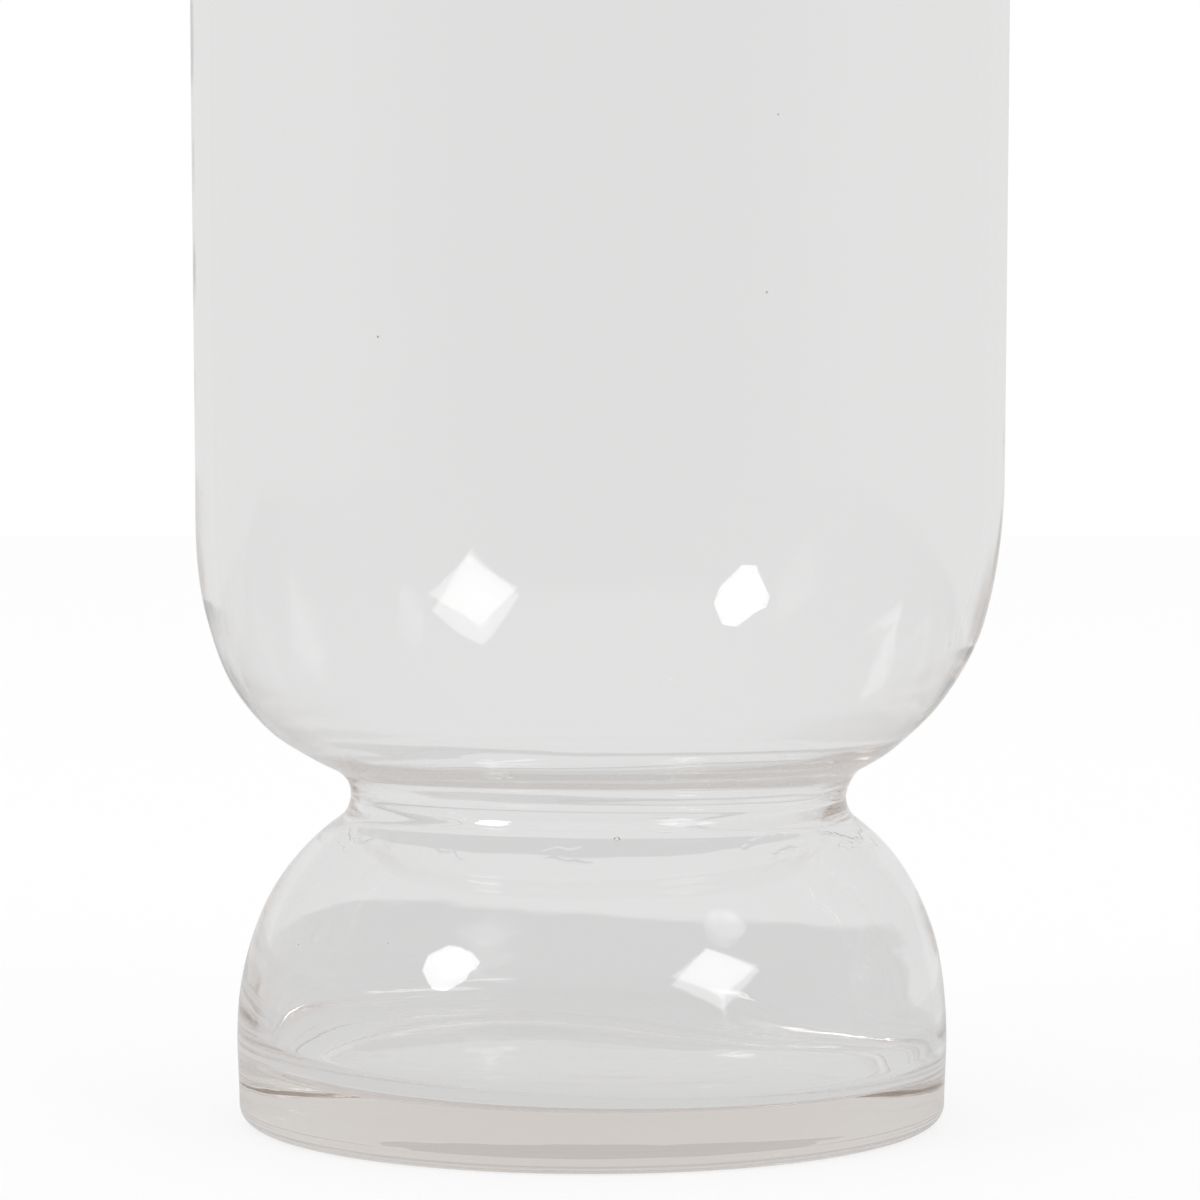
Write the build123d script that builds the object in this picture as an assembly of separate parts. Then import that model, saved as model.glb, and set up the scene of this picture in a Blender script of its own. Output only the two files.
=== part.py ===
from build123d import *
import math
import os

# Whole vase: one blown glass vessel, base on the ground plane, axis on +Z
vase_height = 200.0

# Cup: the tall upper tube, which opens a little towards the mouth
mouth_diameter = 101.7          # outside
cup_foot_diameter = 100.0       # outside, where the tube leaves the bowl
bowl_top_height = 78.0          # where the straight tube begins
mouth_wall = 2.4
lip_bevel = 0.5                 # on both edges of the flat ground lip
cup_wall = 2.2

# Waist: the groove drawn in between cup and bell
waist_diameter = 61.4           # outside, at the bottom of the groove
waist_height = 40.4
waist_groove_radius = 3.6
groove_lower_turn = 52.0        # degrees that the groove turns below the waist
groove_upper_turn = 63.0        # degrees that it turns above the waist

# Bell: the lower chamber's outside, which is also the foot
bell_diameter = 88.1
bell_height = 9.9               # height of its widest place
foot_diameter = 87.6
foot_edge_radius = 1.9
foot_ring_width = 5.0           # flat ring that touches the table
recess_depth = 1.2              # of the underside inside the ring
recess_slope_width = 3.0        # of the slope that leads up into it

# Hollow: one cavity, open from the mouth down to the floor of the bell
throat_diameter = 57.2          # inside, at the narrowest place
throat_height = 41.0            # middle of the short straight stretch there
throat_land = 0.6               # height of that stretch
throat_round = 3.2              # rounding of the inner edge that the bulb sits on
throat_lower_turn = 11.0
throat_upper_turn = 65.2
hollow_bowl_top_height = 84.0
chamber_diameter = 83.4         # inside, at its widest place
chamber_height = 14.4           # height of that place
chamber_floor_diameter = 63.6   # flat part of the floor
floor_thickness = 5.8

# Fullness of the flanks: how far each end's tangent reaches, as a share of the flank's height
bell_top_share = 0.32
bell_side_share = 0.46
bowl_bottom_share = 0.34
bowl_side_share = 0.48
chamber_top_share = 0.25
chamber_side_share = 0.63
hollow_bowl_bottom_share = 0.18
hollow_bowl_side_share = 0.76
corner_share = 0.65


def waist_side(narrowest, round_radius, turn, side):
    """Arc from a waist's narrowest point outwards, up for side 1 or down for side -1, its end and its direction."""
    centre = narrowest + Vector(round_radius, 0)
    end = math.radians(turn)

    def point(angle):
        return centre + Vector(-math.cos(angle), side * math.sin(angle)) * round_radius

    outward = Vector(math.sin(end), side * math.cos(end))
    return ThreePointArc(narrowest, point(end / 2), point(end)), point(end), outward


def flank(start, start_way, start_reach, end, end_way, end_reach):
    """Smooth curve that leaves start along start_way and reaches end from end_way."""
    return Bezier(start, start + start_way * start_reach, end + end_way * end_reach, end)


def outside_outline():
    """Edges of the outer surface in the plane of the axis, from the underside up to the lip."""
    up, down = Vector(0, 1), Vector(0, -1)
    foot_radius = foot_diameter / 2
    bell = Vector(bell_diameter / 2, bell_height)
    bowl_top = Vector(cup_foot_diameter / 2, bowl_top_height)
    lip_base = Vector(mouth_diameter / 2, vase_height - lip_bevel)
    lip_outer = Vector(mouth_diameter / 2 - lip_bevel, vase_height)
    lip_inner = Vector(mouth_diameter / 2 - mouth_wall + lip_bevel, vase_height)

    ring_outer = Vector(foot_radius - foot_edge_radius, 0)
    ring_inner = ring_outer - Vector(foot_ring_width, 0)
    recess_edge = ring_inner + Vector(-recess_slope_width, recess_depth)
    edge_top = Vector(foot_radius, foot_edge_radius)
    waist = Vector(waist_diameter / 2, waist_height)
    groove_below, below, way_down = waist_side(waist, waist_groove_radius, groove_lower_turn, -1)
    groove_above, above, way_up = waist_side(waist, waist_groove_radius, groove_upper_turn, 1)
    bell_rise = waist_height - bell_height
    bowl_rise = bowl_top_height - waist_height
    foot_rise = bell_height - foot_edge_radius
    return [
        Line(Vector(0, recess_depth), recess_edge),
        Line(recess_edge, ring_inner),
        Line(ring_inner, ring_outer),
        RadiusArc(ring_outer, edge_top, -foot_edge_radius),
        flank(edge_top, up, foot_rise / 3, bell, down, foot_rise / 3),
        flank(bell, up, bell_rise * bell_side_share, below, way_down, bell_rise * bell_top_share),
        groove_below,
        groove_above,
        flank(above, way_up, bowl_rise * bowl_bottom_share, bowl_top, down, bowl_rise * bowl_side_share),
        Line(bowl_top, lip_base),
        Line(lip_base, lip_outer),
        Line(lip_outer, lip_inner),
    ]


def hollow_outline():
    """Edges of the inner surface, from the lip down to the middle of the floor."""
    up, down, outward = Vector(0, 1), Vector(0, -1), Vector(1, 0)
    inner_mouth_radius = mouth_diameter / 2 - mouth_wall
    lip_inner = Vector(inner_mouth_radius + lip_bevel, vase_height)
    lip_base = Vector(inner_mouth_radius, vase_height - lip_bevel)
    bowl_top = Vector(cup_foot_diameter / 2 - cup_wall, hollow_bowl_top_height)
    chamber = Vector(chamber_diameter / 2, chamber_height)
    floor_edge = Vector(chamber_floor_diameter / 2, floor_thickness)
    land_top = Vector(throat_diameter / 2, throat_height + throat_land / 2)
    land_bottom = Vector(throat_diameter / 2, throat_height - throat_land / 2)
    seat, above, way_up = waist_side(land_top, throat_round, throat_upper_turn, 1)
    neck, below, way_down = waist_side(land_bottom, throat_round, throat_lower_turn, -1)
    bowl_rise = hollow_bowl_top_height - land_top.Y
    chamber_rise = land_bottom.Y - chamber_height
    corner = chamber - floor_edge
    return [
        Line(lip_inner, lip_base),
        Line(lip_base, bowl_top),
        flank(
            bowl_top, down, bowl_rise * hollow_bowl_side_share, above, way_up, bowl_rise * hollow_bowl_bottom_share
        ),
        seat,
        Line(land_top, land_bottom),
        neck,
        flank(below, way_down, chamber_rise * chamber_top_share, chamber, up, chamber_rise * chamber_side_share),
        flank(chamber, down, corner.Y * corner_share, floor_edge, outward, corner.X * corner_share),
        Line(floor_edge, Vector(0, floor_thickness)),
    ]


def glass_vase():
    """The whole vessel: one ring of glass section turned round the axis."""
    section = outside_outline() + hollow_outline()
    section.append(Line(Vector(0, floor_thickness), Vector(0, recess_depth)))
    face = Plane.XZ * make_face(section)
    return revolve(face, axis=Axis.Z)


os.makedirs("parts", exist_ok=True)
vase = glass_vase()
export_step(vase, "parts/glass_vase.step")
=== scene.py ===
import math

import bmesh
import bpy
import numpy as np
from mathutils import Matrix, Vector, noise


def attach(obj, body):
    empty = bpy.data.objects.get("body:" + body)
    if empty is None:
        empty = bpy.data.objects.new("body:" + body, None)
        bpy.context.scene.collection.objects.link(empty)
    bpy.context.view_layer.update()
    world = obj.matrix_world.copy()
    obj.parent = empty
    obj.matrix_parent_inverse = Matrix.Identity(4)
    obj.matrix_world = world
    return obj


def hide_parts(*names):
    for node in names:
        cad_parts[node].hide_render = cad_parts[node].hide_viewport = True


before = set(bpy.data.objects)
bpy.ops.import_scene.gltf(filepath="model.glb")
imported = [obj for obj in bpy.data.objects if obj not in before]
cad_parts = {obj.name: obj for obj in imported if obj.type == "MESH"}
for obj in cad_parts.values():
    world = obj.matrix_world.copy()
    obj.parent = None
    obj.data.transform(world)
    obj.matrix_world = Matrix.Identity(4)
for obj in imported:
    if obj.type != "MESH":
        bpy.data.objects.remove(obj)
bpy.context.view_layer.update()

# Sizes are in millimetres and angles in degrees, and the mesh is written in metres
MM = 0.001

# Outside of the glass
VASE_HEIGHT = 200.0
MOUTH_DIAMETER = 101.7
CUP_FOOT_DIAMETER = 100.0
BOWL_TOP_HEIGHT = 80.0
MOUTH_WALL = 2.4
LIP_BEVEL = 0.5
CUP_WALL = 2.2
WAIST_DIAMETER = 61.59
WAIST_HEIGHT = 40.09
GROOVE_LOWER_RADIUS = 3.5
GROOVE_UPPER_RADIUS = 4.11
GROOVE_LOWER_TURN = 54.1
GROOVE_UPPER_TURN = 64.0
BELL_DIAMETER = 88.1
BELL_HEIGHT = 10.5
FOOT_DIAMETER = 87.6
FOOT_EDGE_RADIUS = 2.2
FOOT_RING_WIDTH = 4.71
RECESS_DEPTH = 1.11
RECESS_SLOPE_WIDTH = 2.15

# Hollow of the glass
THROAT_DIAMETER = 57.54
THROAT_HEIGHT = 40.83
THROAT_LAND = 1.56
THROAT_ROUND = 2.99
THROAT_LOWER_TURN = 14.9
THROAT_UPPER_TURN = 73.1
HOLLOW_BOWL_TOP_HEIGHT = 80.0
CHAMBER_DIAMETER = 83.61
CHAMBER_HEIGHT = 11.8
CHAMBER_FLOOR_DIAMETER = 67.6
FLOOR_THICKNESS = 6.54
FLOOR_DOME = 0.24

# Fullness of the flanks, as shares of each flank's height
BELL_TOP_SHARE = 0.325
BELL_SIDE_SHARE = 0.409
BOWL_BOTTOM_SHARE = 0.42
BOWL_SIDE_SHARE = 0.36
CHAMBER_TOP_SHARE = 0.18
CHAMBER_SIDE_SHARE = 0.734
HOLLOW_BOWL_BOTTOM_SHARE = 0.08
HOLLOW_BOWL_SIDE_SHARE = 0.84
CORNER_SHARE = 0.693

# Drift of the hand-made glass from the cup's axis: falling heights, and how far right and back it lies there
OUTER_DRIFT = (
    (80.0, 0.0, 0.0),
    (62.0, -0.48, 0.08),
    (52.0, -0.94, 0.15),
    (48.0, -1.0, 0.15),
    (45.0, -0.51, 0.18),
    (42.0, -0.07, 0.18),
    (39.0, -0.24, 0.12),
    (36.0, -0.42, 0.1),
    (26.0, -0.74, 0.03),
    (14.0, -1.0, -0.07),
    (5.0, -1.0, -0.2),
)
INNER_DRIFT = (
    (78.0, 0.0, 0.0),
    (52.0, -0.98, -0.1),
    (44.0, -0.6, -0.1),
    (36.0, -0.3, 0.2),
    (20.0, -0.5, -0.1),
    (11.0, -0.07, -0.35),
    (4.6, 3.08, -0.6),
)

# Waves of blown glass: length down the outline, how many times as long around, depths at falling heights;
# the shifts pick the place in the noise
OUTER_WAVES = (
    (11.0, 2.0, ((200.0, 0.015), (78.0, 0.015), (48.0, 0.03), (40.0, 0.04), (34.0, 0.02), (0.0, 0.0))),
)
INNER_WAVES = (
    (
        9.0,
        2.5,
        (
            (199.0, 0.0),
            (190.0, 0.02),
            (70.0, 0.02),
            (48.0, 0.05),
            (38.0, 0.06),
            (30.0, 0.03),
            (12.0, 0.03),
            (6.0, 0.06),
        ),
    ),
    (2.2, 3.0, ((60.0, 0.0), (50.0, 0.008), (36.0, 0.012), (26.0, 0.003), (14.0, 0.006), (5.0, 0.008))),
)
OUTER_SHIFT = 3.7
INNER_SHIFT = 40.3

# Seeds, the small bubbles in the wall: azimuth from the front, distance from the axis, height, diameter
SEEDS = (
    (3.6, 31.2, 37.4, 0.85),
    (-31.0, 48.4, 96.0, 0.3),
    (24.0, 48.9, 121.0, 0.25),
    (63.0, 46.2, 60.0, 0.35),
    (-58.0, 42.1, 24.0, 0.3),
    (152.0, 48.6, 104.0, 0.35),
    (-137.0, 42.9, 18.0, 0.3),
)

# Finish of the surface: cords down the wall, rings and short chill marks from the tools, wear under the foot
CORD_WIDTH = 9.0
CORD_DEPTH = 0.02
RING_WIDTH = 1.6
RING_DEPTH = 0.004
RING_TOP = 54.0
RING_FULL = 46.0
CHILL_MARK_HEIGHT = 35.5
CHILL_MARK_WANDER = 6.0
CHILL_MARK_LENGTH = 9.0
CHILL_MARK_WIDTH = 0.25
CHILL_MARK_DEPTH = 0.05
CHILL_MARK_NOISE = (0.52, 0.6)
WEAR_HEIGHT = 0.15
WEAR_ROUGHNESS = 0.25
WEAR_PATCH_WIDTH = 3.0
WEAR_PATCH_NOISE = (0.4, 0.65)

# Clear soda glass; its absorption colour and density, per metre, make it warm grey where it is thick
GLASS_COLOUR = (0.99, 0.99, 0.99, 1)
GLASS_IOR = 1.5
ABSORPTION_COLOUR = (0.78, 0.72, 0.67, 1)
ABSORPTION_DENSITY = 10.5

# Fineness of the mesh: steps round the axis, and lengths of the steps along the outline
SEGMENTS = 256
CUP_STEP = 2.0
FLOOR_STEP = 1.5
FOOT_RING_STEP = 1.0
CURVE_STEP = 0.6
TIGHT_STEP = 0.3
EDGE_STEP = 0.12
FOOT_EDGE_POINTS = 9
SEED_SUBDIVISIONS = 2

# Camera: distance from the axis, height above the table, how far it looks down, focal length, sensor
CAMERA_DISTANCE = 521.3
CAMERA_HEIGHT = 84.9
CAMERA_TILT_DOWN = 2.26
LENS = 126.0
SENSOR_WIDTH = 36.0

# Room that the glass sees, as radiances where 1 is white: walls, and the lamps' side with its ceiling;
# directions are shares of a unit vector, forwards negative and upwards positive
WALL_LEVEL = 0.785
WALL_LEVEL_LAMP_SIDE = 0.6
LAMP_SIDE_FULL = -1.0
LAMP_SIDE_END = -0.1
CEILING_LEVEL_LAMP_SIDE = 0.95
CEILING_START = 0.33
CEILING_END = 0.47

# Table: colour, how much of it is plain white to the camera, and in metres its size and the far edge of its
# dimmer near part, which runs askew
TABLE_COLOUR = (0.92, 0.92, 0.92, 1)
TABLE_ROUGHNESS = 0.9
TABLE_WHITE_SHARE = 0.8
TABLE_HALF_WIDTH = 3.0
NEAR_TABLE_LEVEL = 0.664
NEAR_TABLE_EDGE = 0.2503
NEAR_TABLE_FADE = 0.01
NEAR_TABLE_SKEW = 0.252

# Softboxes: distance and sizes in metres; reach is how far the lit face goes, in shares of a side
SOFTBOX_DISTANCE = 2.0
SOFTBOX_EDGE = 0.035
SOFTBOX_RIM_SHARE = 0.8
OCTAGON_SOFTBOX = {
    "azimuth": -51.8,
    "elevation": 26.7,
    "width": 0.55,
    "height": 0.53,
    "reach": 0.65,
    "radiance": 9.0,
}
RHOMBUS_SOFTBOX = {
    "azimuth": 42.0,
    "elevation": 23.5,
    "width": 1.17,
    "height": 0.92,
    "reach": 0.45,
    "radiance": 4.3,
}

# Light runs a long way inside the wall before it leaves
LIGHT_BOUNCES = 128


def waist_side(narrow_radius, height, round_radius, turn, side):
    """Arc that leaves a waist's narrowest place, up for side 1, down for -1: its points and its end's way."""
    steps = max(4, int(math.radians(turn) * round_radius / TIGHT_STEP))
    angle = np.radians(np.linspace(0, turn, steps + 1))
    radii = narrow_radius + round_radius * (1 - np.cos(angle))
    points = np.stack([radii, height + side * round_radius * np.sin(angle)], axis=1)
    return points, np.array([np.sin(angle[-1]), side * np.cos(angle[-1])])


def flank(start, start_pull, end, end_pull):
    """Points of a cubic curve from start to end, drawn towards the two pulls."""
    start, end = np.array(start, float), np.array(end, float)
    steps = max(4, int(np.linalg.norm(end - start) / CURVE_STEP))
    t = np.linspace(0, 1, steps + 1)[:, None]
    first, second = start + start_pull, end + end_pull
    return (1 - t) ** 3 * start + 3 * (1 - t) ** 2 * t * first + 3 * (1 - t) * t**2 * second + t**3 * end


def straight(start, end, step):
    """Points of a straight line, about a step apart."""
    steps = max(1, int(np.linalg.norm(np.subtract(end, start)) / step))
    return np.linspace(start, end, steps + 1)


def chain(*stretches):
    """One row of points from stretches that meet end to end."""
    rows = [stretches[0]]
    for stretch in stretches[1:]:
        rows.append(stretch[1:])
    return np.concatenate(rows)


def outside_points():
    """Outer surface from the middle of the underside to the outer edge of the lip."""
    foot_radius, bell_radius, mouth_radius = FOOT_DIAMETER / 2, BELL_DIAMETER / 2, MOUTH_DIAMETER / 2
    ring_outer = foot_radius - FOOT_EDGE_RADIUS
    ring_inner = ring_outer - FOOT_RING_WIDTH
    recess_edge = [ring_inner - RECESS_SLOPE_WIDTH, RECESS_DEPTH]
    turn = np.radians(np.linspace(-90, 0, FOOT_EDGE_POINTS))
    edge_radii = ring_outer + FOOT_EDGE_RADIUS * np.cos(turn)
    foot_edge = np.stack([edge_radii, FOOT_EDGE_RADIUS + FOOT_EDGE_RADIUS * np.sin(turn)], axis=1)
    foot_top, bell_side = [foot_radius, FOOT_EDGE_RADIUS], [bell_radius, BELL_HEIGHT]
    foot_rise = BELL_HEIGHT - FOOT_EDGE_RADIUS
    waist_radius = WAIST_DIAMETER / 2
    below, way_down = waist_side(waist_radius, WAIST_HEIGHT, GROOVE_LOWER_RADIUS, GROOVE_LOWER_TURN, -1)
    above, way_up = waist_side(waist_radius, WAIST_HEIGHT, GROOVE_UPPER_RADIUS, GROOVE_UPPER_TURN, 1)
    bell_rise = WAIST_HEIGHT - BELL_HEIGHT
    bowl_rise = BOWL_TOP_HEIGHT - WAIST_HEIGHT
    bowl_top = [CUP_FOOT_DIAMETER / 2, BOWL_TOP_HEIGHT]
    waist_pull = way_up * bowl_rise * BOWL_BOTTOM_SHARE
    lip_base, lip_outer = [mouth_radius, VASE_HEIGHT - LIP_BEVEL], [mouth_radius - LIP_BEVEL, VASE_HEIGHT]
    return chain(
        straight([0, RECESS_DEPTH], recess_edge, FLOOR_STEP),
        flank(recess_edge, [RECESS_SLOPE_WIDTH / 3, 0], [ring_inner, 0], [-RECESS_SLOPE_WIDTH / 3, 0]),
        straight([ring_inner, 0], [ring_outer, 0], FOOT_RING_STEP),
        foot_edge,
        flank(foot_top, [0, foot_rise / 3], bell_side, [0, -foot_rise / 3]),
        flank(bell_side, [0, bell_rise * BELL_SIDE_SHARE], below[-1], way_down * bell_rise * BELL_TOP_SHARE),
        below[::-1],
        above,
        flank(above[-1], waist_pull, bowl_top, [0, -bowl_rise * BOWL_SIDE_SHARE]),
        straight(bowl_top, lip_base, CUP_STEP),
        straight(lip_base, lip_outer, EDGE_STEP),
    )


def hollow_points():
    """Lip and inner surface, from the outer edge of the lip down to the middle of the floor."""
    mouth_radius, inner_radius = MOUTH_DIAMETER / 2, MOUTH_DIAMETER / 2 - MOUTH_WALL
    lip_outer, lip_inner = [mouth_radius - LIP_BEVEL, VASE_HEIGHT], [inner_radius + LIP_BEVEL, VASE_HEIGHT]
    lip_base = [inner_radius, VASE_HEIGHT - LIP_BEVEL]
    bowl_top = [CUP_FOOT_DIAMETER / 2 - CUP_WALL, HOLLOW_BOWL_TOP_HEIGHT]
    land_top, land_bottom = THROAT_HEIGHT + THROAT_LAND / 2, THROAT_HEIGHT - THROAT_LAND / 2
    seat, way_up = waist_side(THROAT_DIAMETER / 2, land_top, THROAT_ROUND, THROAT_UPPER_TURN, 1)
    neck, way_down = waist_side(THROAT_DIAMETER / 2, land_bottom, THROAT_ROUND, THROAT_LOWER_TURN, -1)
    bowl_rise = HOLLOW_BOWL_TOP_HEIGHT - land_top
    chamber_rise = land_bottom - CHAMBER_HEIGHT
    seat_pull = way_up * bowl_rise * HOLLOW_BOWL_BOTTOM_SHARE
    neck_pull = way_down * chamber_rise * CHAMBER_TOP_SHARE
    chamber = [CHAMBER_DIAMETER / 2, CHAMBER_HEIGHT]
    floor_edge = [CHAMBER_FLOOR_DIAMETER / 2, FLOOR_THICKNESS]
    corner_width, corner_height = chamber[0] - floor_edge[0], chamber[1] - floor_edge[1]
    return chain(
        straight(lip_outer, lip_inner, EDGE_STEP),
        straight(lip_inner, lip_base, EDGE_STEP),
        straight(lip_base, bowl_top, CUP_STEP),
        flank(bowl_top, [0, -bowl_rise * HOLLOW_BOWL_SIDE_SHARE], seat[-1], seat_pull),
        seat[::-1],
        straight(seat[0], neck[0], TIGHT_STEP),
        neck,
        flank(neck[-1], neck_pull, chamber, [0, chamber_rise * CHAMBER_SIDE_SHARE]),
        flank(chamber, [0, -corner_height * CORNER_SHARE], floor_edge, [corner_width * CORNER_SHARE, 0]),
        chamber_floor(floor_edge[0]),
    )


def chamber_floor(radius):
    """Points of the slightly domed floor of the chamber, from its edge inwards."""
    inwards = np.linspace(1, 0, int(radius / FLOOR_STEP) + 1)
    return np.stack([radius * inwards, FLOOR_THICKNESS + FLOOR_DOME * (1 - inwards**2)], axis=1)


def drift(heights, stages):
    """Place of each ring to the right and back, eased from one stage to the next and steady beyond them."""
    places = np.tile(np.array(stages[0][1:]), (len(heights), 1))
    for (top, *before), (bottom, *after) in zip(stages, stages[1:]):
        t = np.clip((top - heights) / (top - bottom), 0, 1)[:, None]
        places += np.subtract(after, before) * t * t * (3 - 2 * t)
    return places


def across(outline):
    """Unit directions square to an outline at each of its points, towards the glass's outer side."""
    along = np.gradient(outline, axis=0)
    along /= np.linalg.norm(along, axis=1)[:, None]
    return np.stack([along[:, 1], -along[:, 0]], axis=1)


def waves(body, path, size, stretch, shift):
    """Soft noise from -1 to 1 at each point, in waves stretch times as long around as down the outline."""
    spots = body.copy()
    spots[..., :2] /= stretch
    spots[..., 2] = path[:, None]
    spots = spots.reshape(-1, 3) / size + shift
    return np.array([noise.noise(spot) for spot in spots.tolist()]).reshape(body.shape[:2])


def turned_rings(outline, places, wave_depths, shift):
    """Rings of points of an outline turned about +Z, each round its own place, with blown glass's waves."""
    angle = np.linspace(0, 2 * math.pi, SEGMENTS, endpoint=False)
    ring = np.stack([np.cos(angle), np.sin(angle)], axis=1)
    radius, height = outline[:, 0], outline[:, 1]
    body = np.empty((len(outline), SEGMENTS, 3))
    body[..., :2] = radius[:, None, None] * ring
    body[..., 2] = height[:, None]
    path = np.concatenate([[0], np.cumsum(np.linalg.norm(np.diff(outline, axis=0), axis=1))])
    lift = np.zeros(body.shape[:2])
    for size, stretch, depths in wave_depths:
        depth = np.interp(-height, [-top for top, _ in depths], [value for _, value in depths])
        lift += depth[:, None] * waves(body, path, size, stretch, shift)
    way = across(outline)
    body[..., :2] += (lift * way[:, :1])[..., None] * ring
    body[..., 2] += lift * way[:, 1:]
    body[..., :2] += places[:, None]
    return body


def closed_mesh(name, body):
    """Mesh of rings of points, each end closed by one point in the middle of its last ring."""
    rings = len(body)
    poles = body[[0, -1]].mean(axis=1)
    points = np.concatenate([body.reshape(-1, 3), poles]) * MM
    low_pole, high_pole = rings * SEGMENTS, rings * SEGMENTS + 1
    faces = []
    for a in range(0, (rings - 1) * SEGMENTS, SEGMENTS):
        b = a + SEGMENTS
        for i in range(SEGMENTS):
            j = (i + 1) % SEGMENTS
            faces.append((a + i, a + j, b + j, b + i))
    last = (rings - 1) * SEGMENTS
    for i in range(SEGMENTS):
        j = (i + 1) % SEGMENTS
        faces.append((low_pole, j, i))
        faces.append((high_pole, last + i, last + j))
    mesh = bpy.data.meshes.new(name)
    mesh.from_pydata(points.tolist(), [], faces)
    return mesh


def add_seeds(mesh):
    """Small air bubbles inside the wall, as hollows in the glass's own mesh."""
    glass = bmesh.new()
    glass.from_mesh(mesh)
    for azimuth, radius, height, diameter in SEEDS:
        around = math.radians(azimuth)
        middle = Vector((radius * math.sin(around), -radius * math.cos(around), height)) * MM
        ball = bmesh.ops.create_icosphere(
            glass,
            subdivisions=SEED_SUBDIVISIONS,
            radius=diameter / 2 * MM,
            matrix=Matrix.Translation(middle),
        )
        skin = {face for point in ball["verts"] for face in point.link_faces}
        bmesh.ops.reverse_faces(glass, faces=list(skin))
    glass.to_mesh(mesh)
    glass.free()


def worked_out(nodes, links, operation, *values):
    """Output of a Math node whose inputs are numbers or other nodes' outputs."""
    node = nodes.new("ShaderNodeMath")
    node.operation = operation
    for socket, value in zip(node.inputs, values):
        if isinstance(value, (int, float)):
            socket.default_value = value
        else:
            links.new(value, socket)
    return node.outputs[0]


def ramp(nodes, links, value, start, end, low=0.0, high=1.0, kind="LINEAR"):
    """Output that goes from low to high while value goes from start to end, and holds steady beyond."""
    node = nodes.new("ShaderNodeMapRange")
    node.interpolation_type = kind
    node.inputs["From Min"].default_value = start
    node.inputs["From Max"].default_value = end
    node.inputs["To Min"].default_value = low
    node.inputs["To Max"].default_value = high
    links.new(value, node.inputs["Value"])
    return node.outputs["Result"]


def parts_of(nodes, links, vector):
    """The three outputs X, Y and Z of a vector."""
    node = nodes.new("ShaderNodeSeparateXYZ")
    links.new(vector, node.inputs[0])
    return node.outputs


def noise_over(nodes, links, place, size, scale, detail):
    """Noise from 0 to 1 with spots size millimetres across, stretched along each axis by one over scale."""
    stretch = nodes.new("ShaderNodeMapping")
    stretch.inputs["Scale"].default_value = scale
    links.new(place, stretch.inputs["Vector"])
    spots = nodes.new("ShaderNodeTexNoise")
    spots.inputs["Scale"].default_value = 1 / (size * MM)
    spots.inputs["Detail"].default_value = detail
    links.new(stretch.outputs["Vector"], spots.inputs["Vector"])
    return spots.outputs["Fac"]


def raised(nodes, links, height, depth, below=None):
    """Normal of a surface that rises depth millimetres where height is 1, on top of the normal below."""
    bump = nodes.new("ShaderNodeBump")
    bump.inputs["Distance"].default_value = depth * MM
    links.new(height, bump.inputs["Height"])
    if below:
        links.new(below, bump.inputs["Normal"])
    return bump.outputs["Normal"]


def worn_foot(nodes, links, place):
    """Roughness: polished glass, dull in patches where the foot stands on the table."""
    height = parts_of(nodes, links, place)["Z"]
    near_table = ramp(nodes, links, height, WEAR_HEIGHT * MM, 0.0)
    patches = noise_over(nodes, links, place, WEAR_PATCH_WIDTH, (1, 1, 1), 4.0)
    dull = ramp(nodes, links, patches, *WEAR_PATCH_NOISE, high=WEAR_ROUGHNESS)
    return worked_out(nodes, links, "MULTIPLY", near_table, dull)


def chill_marks(nodes, links, place):
    """1 on thin wandering lines round the shoulder of the bell, broken into short pieces, 0 elsewhere."""
    wander = noise_over(nodes, links, place, CHILL_MARK_LENGTH, (1, 1, 0), 3.0)
    lowest = (CHILL_MARK_HEIGHT - CHILL_MARK_WANDER / 2) * MM
    line_height = worked_out(nodes, links, "MULTIPLY_ADD", wander, CHILL_MARK_WANDER * MM, lowest)
    above = worked_out(nodes, links, "SUBTRACT", parts_of(nodes, links, place)["Z"], line_height)
    away = worked_out(nodes, links, "ABSOLUTE", above)
    line = ramp(nodes, links, away, CHILL_MARK_WIDTH * MM, 0.0, kind="SMOOTHSTEP")
    pieces = noise_over(nodes, links, place, CHILL_MARK_LENGTH, (1, 1, 1), 1.0)
    broken = ramp(nodes, links, pieces, *CHILL_MARK_NOISE)
    return worked_out(nodes, links, "MULTIPLY", line, broken)


def blown_surface(nodes, links, place):
    """Bump: long cords down the wall, rings that the tools left from the waist down, broken chill marks."""
    cords = raised(nodes, links, noise_over(nodes, links, place, CORD_WIDTH, (1, 1, 0.06), 1.0), CORD_DEPTH)
    height = parts_of(nodes, links, place)["Z"]
    near_tools = ramp(nodes, links, height, RING_TOP * MM, RING_FULL * MM, kind="SMOOTHSTEP")
    turned = noise_over(nodes, links, place, RING_WIDTH, (0.1, 0.1, 1), 2.0)
    ring_height = worked_out(nodes, links, "MULTIPLY", turned, near_tools)
    rings = raised(nodes, links, ring_height, RING_DEPTH, cords)
    return raised(nodes, links, chill_marks(nodes, links, place), CHILL_MARK_DEPTH, rings)


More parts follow.
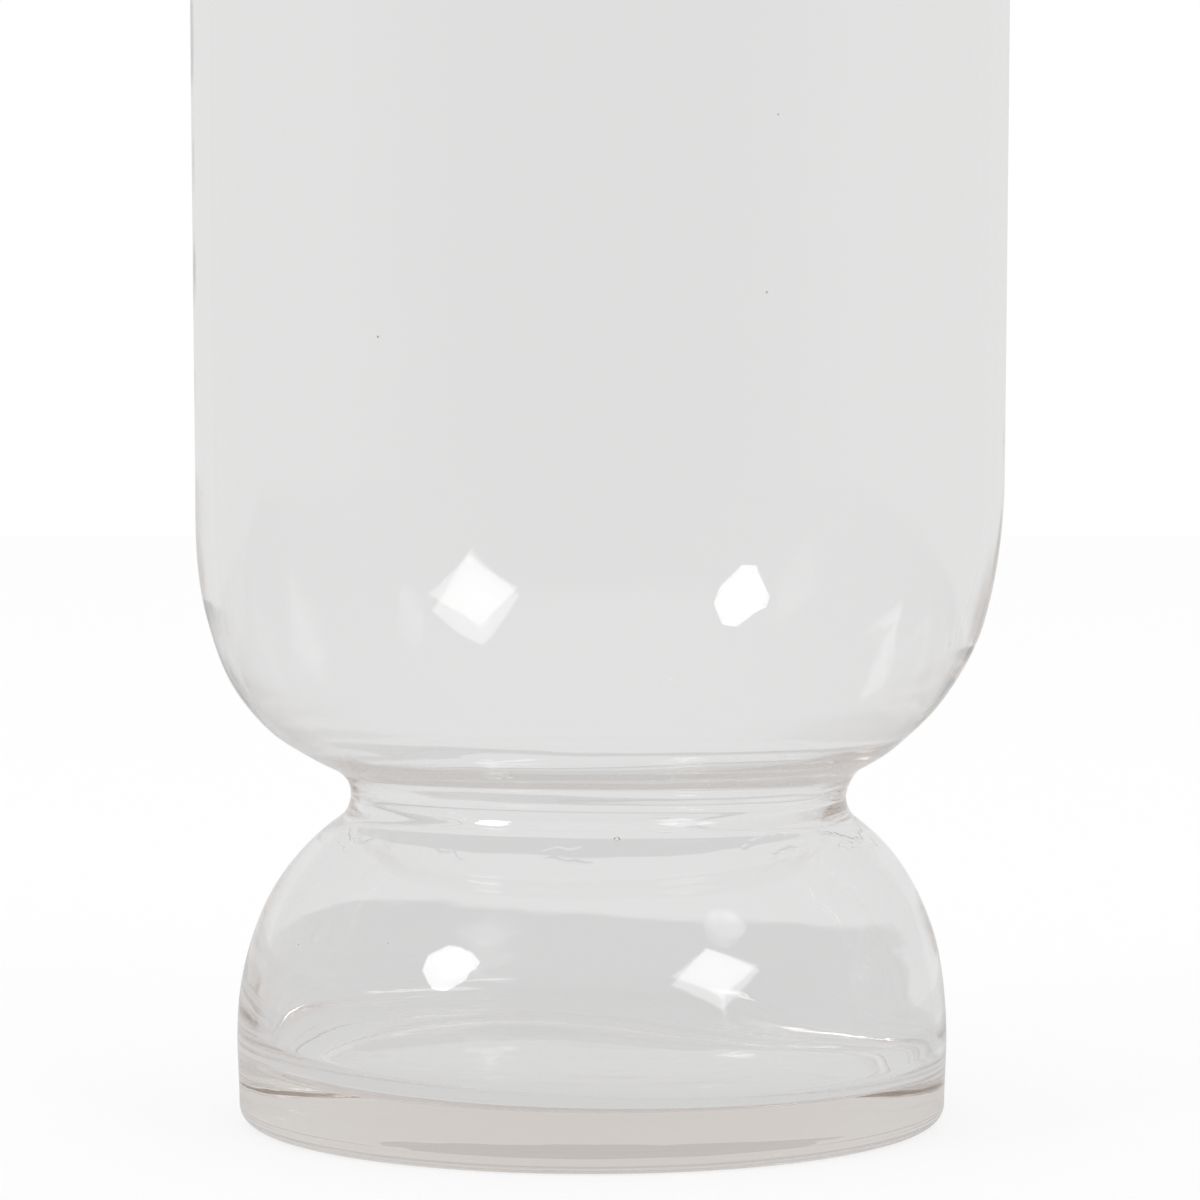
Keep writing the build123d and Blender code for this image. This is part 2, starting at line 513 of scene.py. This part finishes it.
def clear_glass():
    """Clear soda glass, slightly warm where it is thick."""
    material = bpy.data.materials.new("clear_glass")
    material.use_nodes = True
    nodes, links = material.node_tree.nodes, material.node_tree.links
    shader = nodes["Principled BSDF"]
    shader.inputs["Base Color"].default_value = GLASS_COLOUR
    shader.inputs["IOR"].default_value = GLASS_IOR
    shader.inputs["Transmission Weight"].default_value = 1.0
    place = nodes.new("ShaderNodeTexCoord").outputs["Object"]
    links.new(worn_foot(nodes, links, place), shader.inputs["Roughness"])
    links.new(blown_surface(nodes, links, place), shader.inputs["Normal"])
    volume = nodes.new("ShaderNodeVolumeAbsorption")
    volume.inputs["Color"].default_value = ABSORPTION_COLOUR
    volume.inputs["Density"].default_value = ABSORPTION_DENSITY
    links.new(volume.outputs["Volume"], nodes["Material Output"].inputs["Volume"])
    return material


def glass_vase():
    """The whole vase as one mesh of glass: its outside, its hollow and its seeds."""
    outside, hollow = outside_points()[1:], hollow_points()[1:-1]
    outer = turned_rings(outside, drift(outside[:, 1], OUTER_DRIFT), OUTER_WAVES, OUTER_SHIFT)
    inner = turned_rings(hollow, drift(hollow[:, 1], INNER_DRIFT), INNER_WAVES, INNER_SHIFT)
    mesh = closed_mesh("glass_body", np.concatenate([outer, inner]))
    add_seeds(mesh)
    mesh.polygons.foreach_set("use_smooth", [True] * len(mesh.polygons))
    mesh.update()
    vase = bpy.data.objects.new("glass_body", mesh)
    bpy.context.scene.collection.objects.link(vase)
    mesh.materials.append(clear_glass())
    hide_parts("glass_vase")
    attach(vase, "root")
    return vase


def either_way(nodes, links, plain, through_glass, end):
    """Joins end to through_glass for rays that come through glass or off a gloss, to plain for the rest."""
    path = nodes.new("ShaderNodeLightPath").outputs
    by_glass = worked_out(nodes, links, "MAXIMUM", path["Is Glossy Ray"], path["Is Transmission Ray"])
    mix = nodes.new("ShaderNodeMixShader")
    links.new(by_glass, mix.inputs["Fac"])
    links.new(plain, mix.inputs[1])
    links.new(through_glass, mix.inputs[2])
    links.new(mix.outputs[0], end)


def surroundings():
    """White studio; the glass sees its walls at the level of pale paper, dimmer on the lamps' side."""
    world = bpy.data.worlds.new("studio")
    bpy.context.scene.world = world
    world.use_nodes = True
    nodes, links = world.node_tree.nodes, world.node_tree.links
    white = nodes["Background"]
    white.inputs["Color"].default_value = (1, 1, 1, 1)
    white.inputs["Strength"].default_value = 1.0
    way = parts_of(nodes, links, nodes.new("ShaderNodeTexCoord").outputs["Generated"])
    lamp_side = ramp(
        nodes, links, way["Z"], CEILING_START, CEILING_END, WALL_LEVEL_LAMP_SIDE, CEILING_LEVEL_LAMP_SIDE
    )
    level = ramp(nodes, links, way["Y"], LAMP_SIDE_FULL, LAMP_SIDE_END, high=WALL_LEVEL)
    links.new(lamp_side, level.node.inputs["To Min"])
    paper = nodes.new("ShaderNodeBackground")
    paper.inputs["Color"].default_value = (1, 1, 1, 1)
    links.new(level, paper.inputs["Strength"])
    either_way(nodes, links, white.outputs[0], paper.outputs[0], nodes["World Output"].inputs["Surface"])


def table_top():
    """White table that keeps the vase's shadow; the glass sees its near part dimmer than the wall."""
    mesh = bpy.data.meshes.new("floor")
    half = TABLE_HALF_WIDTH
    corners = [(-half, -half, 0), (half, -half, 0), (half, half, 0), (-half, half, 0)]
    mesh.from_pydata(corners, [], [(0, 1, 2, 3)])
    floor = bpy.data.objects.new("floor", mesh)
    bpy.context.scene.collection.objects.link(floor)
    material = bpy.data.materials.new("pale_floor")
    material.use_nodes = True
    nodes, links = material.node_tree.nodes, material.node_tree.links
    shader = nodes["Principled BSDF"]
    shader.inputs["Base Color"].default_value = TABLE_COLOUR
    shader.inputs["Roughness"].default_value = TABLE_ROUGHNESS
    white = nodes.new("ShaderNodeEmission")
    white.inputs["Strength"].default_value = 1.0
    to_camera = nodes.new("ShaderNodeLightPath").outputs["Is Camera Ray"]
    plain = nodes.new("ShaderNodeMixShader")
    links.new(worked_out(nodes, links, "MULTIPLY", to_camera, TABLE_WHITE_SHARE), plain.inputs["Fac"])
    links.new(shader.outputs[0], plain.inputs[1])
    links.new(white.outputs[0], plain.inputs[2])

    place = parts_of(nodes, links, nodes.new("ShaderNodeTexCoord").outputs["Object"])
    back = worked_out(nodes, links, "MULTIPLY_ADD", place["X"], NEAR_TABLE_SKEW, place["Y"])
    near_end, far_start = NEAR_TABLE_EDGE - NEAR_TABLE_FADE, NEAR_TABLE_EDGE + NEAR_TABLE_FADE
    level = ramp(nodes, links, back, near_end, far_start, NEAR_TABLE_LEVEL, WALL_LEVEL, "SMOOTHSTEP")
    seen = nodes.new("ShaderNodeEmission")
    links.new(level, seen.inputs["Strength"])
    either_way(nodes, links, plain.outputs[0], seen.outputs[0], nodes["Material Output"].inputs["Surface"])
    mesh.materials.append(material)


def softbox(name, azimuth, elevation, width, height, reach, radiance):
    """Lamp that faces the vase. Its lit face is the part of a rectangle where the two distances from the
    middle, as shares of a side, add up to less than reach; its edge is soft and its middle brighter."""
    data = bpy.data.lights.new(name, "AREA")
    data.shape = "RECTANGLE"
    data.size = width
    data.size_y = height
    data.energy = radiance * math.pi * width * height
    around, up = math.radians(azimuth), math.radians(elevation)
    way = Vector((math.sin(around) * math.cos(up), -math.cos(around) * math.cos(up), math.sin(up)))
    lamp = bpy.data.objects.new(name, data)
    lamp.location = way * SOFTBOX_DISTANCE
    lamp.rotation_euler = way.to_track_quat("Z", "Y").to_euler()
    lamp.visible_camera = False
    bpy.context.scene.collection.objects.link(lamp)

    data.use_nodes = True
    nodes, links = data.node_tree.nodes, data.node_tree.links
    face = parts_of(nodes, links, nodes.new("ShaderNodeNewGeometry").outputs["Parametric"])
    shares = []
    for axis in ("X", "Y"):
        off_middle = worked_out(nodes, links, "SUBTRACT", face[axis], 0.5)
        shares.append(worked_out(nodes, links, "ABSOLUTE", off_middle))
    both = worked_out(nodes, links, "ADD", *shares)
    lit = ramp(nodes, links, both, reach + SOFTBOX_EDGE, reach - SOFTBOX_EDGE, kind="SMOOTHSTEP")
    middle = ramp(nodes, links, both, 0.0, reach, 1.0, SOFTBOX_RIM_SHARE)
    strength = worked_out(nodes, links, "MULTIPLY", lit, middle)
    links.new(strength, nodes["Emission"].inputs["Strength"])


def studio():
    """Room, table and the two lamps."""
    surroundings()
    table_top()
    softbox("octagon_softbox", **OCTAGON_SOFTBOX)
    softbox("rhombus_softbox", **RHOMBUS_SOFTBOX)


def camera():
    """Camera at the photograph's place; it looks back along +Y and slightly down."""
    scene = bpy.context.scene
    data = bpy.data.cameras.new("photo_camera")
    data.lens = LENS
    data.sensor_width = SENSOR_WIDTH
    cam = bpy.data.objects.new("photo_camera", data)
    cam.location = (0, -CAMERA_DISTANCE * MM, CAMERA_HEIGHT * MM)
    cam.rotation_euler = (math.radians(90 - CAMERA_TILT_DOWN), 0, 0)
    scene.collection.objects.link(cam)
    scene.camera = cam


glass_vase()
studio()
camera()
scene = bpy.context.scene
scene.view_settings.view_transform = "Standard"
scene.cycles.max_bounces = LIGHT_BOUNCES
scene.cycles.glossy_bounces = LIGHT_BOUNCES
scene.cycles.transmission_bounces = LIGHT_BOUNCES
